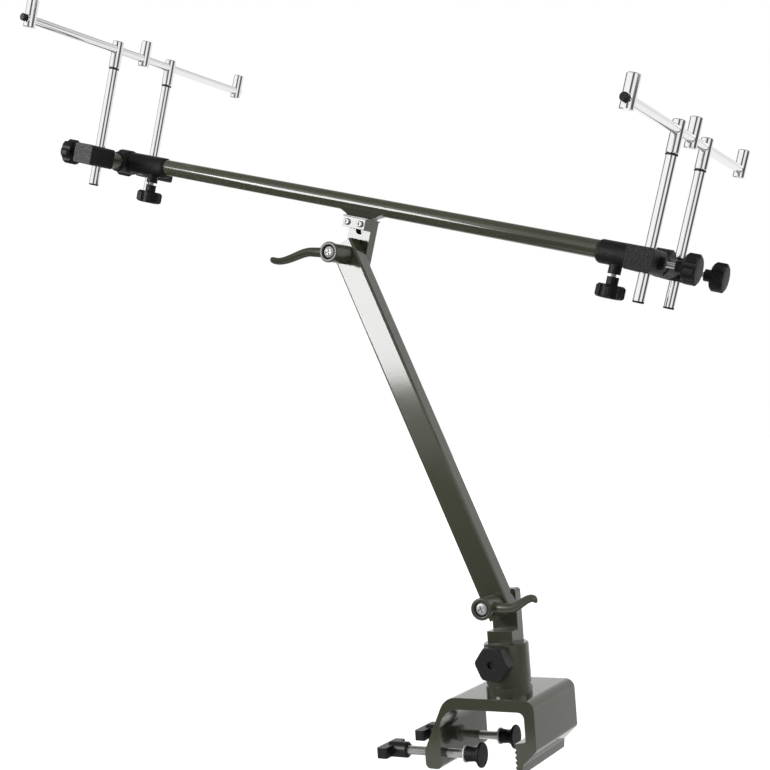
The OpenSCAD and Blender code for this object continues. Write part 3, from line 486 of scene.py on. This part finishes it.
def windUp(made, axis, pitch, turns, sides):
    # winds a drawn line into a screw and goes back to edit mode with all of it selected
    bpy.ops.object.mode_set(mode="OBJECT")
    turn = made.modifiers.new("turn", "SCREW")
    turn.axis = axis
    turn.screw_offset = pitch * mm
    turn.iterations = turns
    turn.steps = turn.render_steps = sides
    applyModifiers(made)
    bpy.ops.object.mode_set(mode="EDIT")
    bpy.ops.mesh.select_all(action="SELECT")


def shapeThread(length, outer, pitch, depth):
    # a threaded rod along X that starts at the origin
    line = [((x - 1) * pitch, outer - depth * (1 - out)) for x, out in threadForm]
    rod = drawLine([Vector((x, 0, r)) * mm for x, r in line])
    windUp(rod, "X", pitch, int(length / pitch) + 2, threadSpec["sides"])
    bpy.ops.mesh.remove_doubles(threshold=seamWeld)
    for at, way in ((0, -1), (length, 1)):
        bpy.ops.mesh.select_all(action="SELECT")
        bpy.ops.mesh.bisect(plane_co=(at * mm, 0, 0), plane_no=(way, 0, 0), use_fill=True,
                            clear_outer=True, threshold=fineWeld)
    closeUp()
    selectOnly(rod)
    bpy.ops.object.shade_smooth_by_angle(angle=math.radians(threadSpec["smooth"]))
    return rod


def makeThreads():
    for node, (jointName, size) in threadSizes.items():
        joint = joints[jointName]
        axis, start = Vector(joint["axis"]), Vector(joint["pos_m"])
        offsets = [vertex.co - start for vertex in nodes[node].data.vertices]
        along = [offset.dot(axis) for offset in offsets]
        outer = max((offset - axis * far).length for offset, far in zip(offsets, along))
        rod = shapeThread((max(along) - min(along)) / mm, outer / mm, **size)
        aim = axis.to_track_quat("X", "Z").to_matrix().to_4x4()
        setDown(rod, Matrix.Translation(start + axis * min(along)) @ aim)
        dress(rod, pieceName(node), "steel", "steel", bodyOf[node], node)


holeSpec = {"pitch": 1.27, "inset": 1.3, "floor": 0.6, "crest": 0.5, "root": 0.2,
            "crestStart": 0.38, "crestEnd": 0.52, "rootEnd": 0.9, "sides": 32, "smooth": 40}


def shapeHole(length, bore):
    # the ridge of an inner thread, round Z and down from the origin, with its root inside the wall
    spec = holeSpec
    root, crest = bore + spec["root"], bore - spec["crest"]
    line = [(root, 0.0), (crest, spec["crestStart"]), (crest, spec["crestEnd"]),
            (root, spec["rootEnd"])]
    points = [Vector((r, 0, share * spec["pitch"] - length)) * mm for r, share in line]
    ridge = drawLine(points, closed=True)
    windUp(ridge, "Z", spec["pitch"], int(length / spec["pitch"]) - 1, spec["sides"])
    bpy.ops.mesh.fill_holes(sides=len(line))
    closeUp()
    selectOnly(ridge)
    bpy.ops.object.shade_smooth_by_angle(angle=math.radians(spec["smooth"]))
    return ridge


def makeHoles():
    holes = [mount for mount in record["mounts"] if mount["kind"] == "threaded_hole"]
    dims = holes[0]["dims"]
    pattern = shapeHole(dims["length_mm"] - holeSpec["inset"] - holeSpec["floor"], dims["r_mm"])
    for mount in holes:
        ridge = copyPiece(pattern, "ridge")
        axis = Vector(mount["axis"])
        mouth = Vector(mount["pos_m"]) - axis * holeSpec["inset"] * mm
        aim = axis.to_track_quat("Z", "Y").to_matrix().to_4x4()
        setDown(ridge, Matrix.Translation(mouth) @ aim)
        end, place = mount["name"].split("_")[:2]
        dress(ridge, f"{end}{place.title()}HolderThread", "chrome", "chrome", end + "_rest")
    bpy.data.objects.remove(pattern)


# how far the corners of cast and moulded pieces are rounded off, in mm
cornerSizes = {"clamp_bracket": 0.8, "swivel_clevis": 0.7, "upper_clevis": 0.7,
               "front_clamp_wing": 0.9, "rear_clamp_wing": 0.9, "saddle_plate": 0.3}
# angles in degrees: faces that count as one, edges that are rounded, and edges that shade sharp
cornerSpec = {"flat": 0.6, "sharp": 32, "smooth": 38, "segments": 3}
# the jaw's teeth as the solid has them, and the coarser ones that take their place, in mm
jawSpec = {"node": "clamp_bracket", "face": 15.5, "top": -34.0, "foot": -67.0,
           "pitch": 3.6, "depth": 1.6, "newPitch": 5.5, "newDepth": 2.1,
           "slack": 0.15, "topSlack": 0.1, "footRun": 0.5}


def isTooth(node, vertex):
    spec = jawSpec
    x, z = vertex.co.x / mm - spec["face"], vertex.co.z / mm
    deep = spec["newDepth"] - spec["depth"] / 2 + spec["slack"]
    inside = abs(x - spec["depth"] / 2) < deep and z < spec["top"] - spec["topSlack"]
    return node == spec["node"] and inside


def cutTeeth(made):
    spec = jawSpec
    for vertex in made.data.vertices:
        if not isTooth(spec["node"], vertex):
            continue
        step = (spec["top"] - vertex.co.z / mm) / spec["pitch"]
        z = spec["top"] - step * spec["newPitch"]
        root = vertex.co.x / mm > spec["face"] + spec["depth"] / 2
        if z < spec["foot"] + spec["footRun"]:
            z, root = spec["foot"], True
        vertex.co.x = (spec["face"] + spec["newDepth"] * root) * mm
        vertex.co.z = z * mm


def markCorners(made, node):
    # leaves a bevel weight of 1 on the sharp edges, apart from those of the teeth
    bpy.ops.mesh.select_mode(type="EDGE")
    bpy.ops.mesh.select_all(action="DESELECT")
    bpy.ops.mesh.edges_select_sharp(sharpness=math.radians(cornerSpec["sharp"]))
    bpy.ops.object.mode_set(mode="OBJECT")
    weight = made.data.attributes.new("bevel_weight_edge", "FLOAT", "EDGE")
    for edge in made.data.edges:
        tooth = all(isTooth(node, made.data.vertices[i]) for i in edge.vertices)
        weight.data[edge.index].value = float(edge.select and not tooth)


def roundOff(node, width):
    made = copyPiece(nodes[node], "rounded")
    selectOnly(made)
    bpy.ops.object.mode_set(mode="EDIT")
    bpy.ops.mesh.select_all(action="SELECT")
    bpy.ops.mesh.customdata_custom_splitnormals_clear()
    bpy.ops.mesh.remove_doubles(threshold=cadWeld)
    if node == jawSpec["node"]:
        bpy.ops.object.mode_set(mode="OBJECT")
        cutTeeth(made)
        bpy.ops.object.mode_set(mode="EDIT")
        bpy.ops.mesh.remove_doubles(threshold=cadWeld)
    bpy.ops.mesh.dissolve_limited(angle_limit=math.radians(cornerSpec["flat"]))
    markCorners(made, node)
    corner = made.modifiers.new("corner", "BEVEL")
    corner.width = width * mm
    corner.segments = cornerSpec["segments"]
    corner.limit_method = "WEIGHT"
    corner.miter_outer = "MITER_ARC"
    applyModifiers(made)
    bpy.ops.object.shade_smooth_by_angle(angle=math.radians(cornerSpec["smooth"]))
    # keeps flat faces flat between their round edges
    even = made.modifiers.new("even", "WEIGHTED_NORMAL")
    even.keep_sharp = True
    applyModifiers(made)
    return made


def makeRounded():
    for node, width in cornerSizes.items():
        made = roundOff(node, width)
        finish = ownFinish.get(node, slotOf[node])
        dress(made, pieceName(node), finish, slotOf[node], bodyOf[node], node)


makeLevers()
print("levers moulded")
makeThreads()
print("threads cut on", len(threadSizes), "screws and studs")
makeHoles()
print("threads cut in the rod holders")
makeRounded()
print("corners rounded on", len(cornerSizes), "pieces")

# what polished surfaces see round the horizon and on the floor, by degrees from the camera:
# soft white boxes with dark gaps between them, and a dark stretch of floor in front
cameraTurn = -60.6
surround = [
    (-180, 1.0), (-154, 1.0), (-144, 0.12), (-122, 0.12), (-112, 1.0), (-24, 1.0), (-14, 0.10),
    (4, 0.10), (13, 1.0), (82, 1.0), (91, 0.06), (102, 0.06), (109, 0.8), (150, 0.82), (180, 1.0),
]
groundLook = [
    (-180, 0.95), (-166, 0.9), (-150, 0.14), (4, 0.12), (14, 0.9), (44, 0.95), (58, 0.08),
    (94, 0.08), (112, 0.95), (180, 0.95),
]
nearLook = [
    (-180, 0.95), (-166, 0.9), (-150, 0.15), (0, 0.15), (40, 0.30), (80, 0.45), (125, 0.72),
    (180, 0.95),
]


def byTurn(x, y, levels):
    # a grey level by the compass direction of x and y, counted from the camera
    turn = x.math("ARCTAN2", y, x) * (1 / math.tau) + (1.5 - cameraTurn / 360)
    stops = [((angle + 180) / 360, (level, level, level)) for angle, level in levels]
    return turn.node("ShaderNodeValToRGB", {"stops": stops}, {"Fac": x.math("FRACT", turn, 0.0)})


def rays(wire):
    # masks of the rays that show the background, and of those that show it as a reflection
    kinds = ("Is Camera Ray", "Is Transmission Ray", "Is Glossy Ray")
    straight, through, glossy = (wire.node("ShaderNodeLightPath", out=kind) for kind in kinds)
    return clamped(straight + through), glossy


# each pair is a level at the origin and its change for each metre away
floorSpec = {
    "z": -0.15, "size": 40.0, "colour": (0.80, 0.80, 0.80, 1),
    "glow": (0.14, 0.3), "glowLeast": 0.38, "near": (2.6, 1.6),
    "board": (8.1, 14.3), "boardBack": (0.2, 6.0), "boardColour": (1, 1, 1, 1),
}


def makeFloor():
    spec = floorSpec
    bpy.ops.object.select_all(action="DESELECT")
    bpy.ops.mesh.primitive_plane_add(size=spec["size"], location=(0, 0, spec["z"]))
    floor = bpy.context.object
    floor.name = "floor"
    made, _, place = startMaterial("paleFloor")
    tree = made.node_tree
    seen, glossy = rays(place)
    x, y = (place.node("ShaderNodeSeparateXYZ", {}, {0: place}, out=axis) for axis in "XY")
    away = x.math("SQRT", x * x + y * y, 0.0)
    # white far from the lamps too, and weak enough by the object to leave its shadow
    level, rise = spec["glow"]
    strength = clamped(away * rise + level, spec["glowLeast"], 1.0)
    matte = place.node("ShaderNodeBsdfDiffuse", {}, {"Color": spec["colour"]})
    glow = place.node("ShaderNodeEmission", {}, {"Strength": strength})
    bright = place.node("ShaderNodeAddShader", {}, {0: matte, 1: glow})
    # in reflections one look within a metre of the object, and another from 1.6 m on
    level, fall = spec["near"]
    near = clamped(level - fall * away)
    look = mixColour(near, byTurn(x, y, groundLook), byTurn(x, y, nearLook))
    # and a white board in front of the clamp
    level, fall = spec["board"]
    backLevel, backFall = spec["boardBack"]
    board = clamped(level - fall * away) * clamped(backLevel - y * backFall)
    look = mixColour(board, look, spec["boardColour"])
    ground = place.node("ShaderNodeEmission", {}, {"Color": look})
    shown = place.node("ShaderNodeMixShader", {}, {"Fac": seen, 1: matte, 2: bright})
    shown = place.node("ShaderNodeMixShader", {}, {"Fac": glossy, 1: shown, 2: ground})
    tree.links.new(shown.socket, tree.nodes["Material Output"].inputs["Surface"])
    floor.data.materials.append(made)


skySpec = {"fill": 0.42, "overhead": 0.2, "dimStart": 1.0, "dimRise": 2.2}


def makeWorld():
    spec = skySpec
    world = bpy.data.worlds.new("studioWorld")
    bpy.context.scene.world = world
    world.use_nodes = True
    tree = world.node_tree
    wire = Wire(tree)
    seen, glossy = rays(wire)
    way = wire.node("ShaderNodeTexCoord", out="Generated")
    x, y, z = (wire.node("ShaderNodeSeparateXYZ", {}, {0: way}, out=axis) for axis in "XYZ")
    high = clamped(z * spec["dimRise"] - spec["dimStart"])  # dim overhead
    mirror = byTurn(x, y, surround) * (1 - high) + high * spec["overhead"]
    level = glossy * mirror + (1 - glossy) * spec["fill"]
    level = seen + (1 - seen) * level
    sky = tree.nodes["Background"]
    sky.inputs["Color"].default_value = (1, 1, 1, 1)
    tree.links.new(level.socket, sky.inputs["Strength"])


lampSpecs = {
    "softboxLeft": {
        "at": (-1.33, -1.85, 0.86), "to": (-0.1, 0.0, 0.45), "size": (0.75, 0.8), "radiance": 15.0,
        "keptOff": ("chrome", "steel")},
    "glossLeft": {
        "at": (-2.1, -1.8, 1.05), "to": (-0.4, 0.0, 0.6), "size": (0.7, 0.7), "radiance": 38.0,
        "onlyGloss": True,
        "keptOff": ("chrome", "steel", "olive_paint", "satinOliveAndShade", "brightPlate", "brightScrew",
                    "nylon")},
    "glossLine": {
        "at": (-2.05, -1.75, 1.24), "to": (-0.4, 0.0, 0.6), "size": (1.0, 0.4), "radiance": 8.0,
        "onlyGloss": True,
        "keptOff": ("chrome", "steel", "black_plastic", "satin", "rubber", "satinOliveAndShade",
                    "brightPlate", "brightScrew")},
    "glossStrip": {
        "at": (-1.0, -1.8, 1.65), "to": (-0.1, 0.0, 0.5), "size": (0.8, 0.5), "radiance": 1.2,
        "onlyGloss": True, "keptOff": ("chrome", "steel", "black_plastic")},
    "softboxTop": {
        "at": (0.3, -0.3, 2.4), "to": (0.0, 0.0, 0.3), "size": (1.4, 1.4), "radiance": 2.6,
        "noGloss": True},
    "softboxRight": {
        "at": (2.2, 0.2, 1.0), "to": (0.0, 0.0, 0.3), "size": (1.2, 1.4), "radiance": 1.35},
}


def litBy(name, keptOff):
    # the pieces that a lamp lights: all but those with a finish that is kept off it
    lit = bpy.data.collections.new(name + "Light")
    dark = [finishes[finish] for finish in keptOff]
    for made in bpy.context.scene.objects:
        if made.type == "MESH" and made.active_material not in dark:
            lit.objects.link(made)
    return lit


def makeLamps():
    for name, spec in lampSpecs.items():
        lamp = bpy.data.lights.new(name, "AREA")
        lamp.shape = "RECTANGLE"
        lamp.size, lamp.size_y = spec["size"]
        lamp.energy = spec["radiance"] * math.pi * lamp.size * lamp.size_y
        made = bpy.data.objects.new(name, lamp)
        made.location = spec["at"]
        toward = Vector(spec["to"]) - Vector(spec["at"])
        made.rotation_euler = toward.to_track_quat("-Z", "Y").to_euler()
        bpy.context.scene.collection.objects.link(made)
        made.visible_diffuse = not spec.get("onlyGloss", False)
        made.visible_glossy = not spec.get("noGloss", False)
        if "keptOff" in spec:
            made.light_linking.receiver_collection = litBy(name, spec["keptOff"])


cameraSpec = {"at": (0.5811, -1.2628, 0.3032), "right": (0.8676, 0.4925, -0.0684),
              "up": (0.0807, -0.0036, 0.9967), "back": (0.4906, -0.8703, -0.0428),
              "lens": 58.086, "sensor": 36.0, "clip": (0.05, 100.0)}


def makeCamera():
    spec = cameraSpec
    data = bpy.data.cameras.new("viewCamera")
    data.sensor_width = spec["sensor"]
    data.lens = spec["lens"]
    data.clip_start, data.clip_end = spec["clip"]
    made = bpy.data.objects.new("viewCamera", data)
    bpy.context.scene.collection.objects.link(made)
    turn = Matrix((spec["right"], spec["up"], spec["back"])).transposed().to_4x4()
    made.matrix_world = Matrix.Translation(spec["at"]) @ turn
    bpy.context.scene.camera = made


makeFloor()
makeWorld()
makeLamps()
makeCamera()
bpy.context.scene.view_settings.view_transform = "Standard"
print("studio ready")
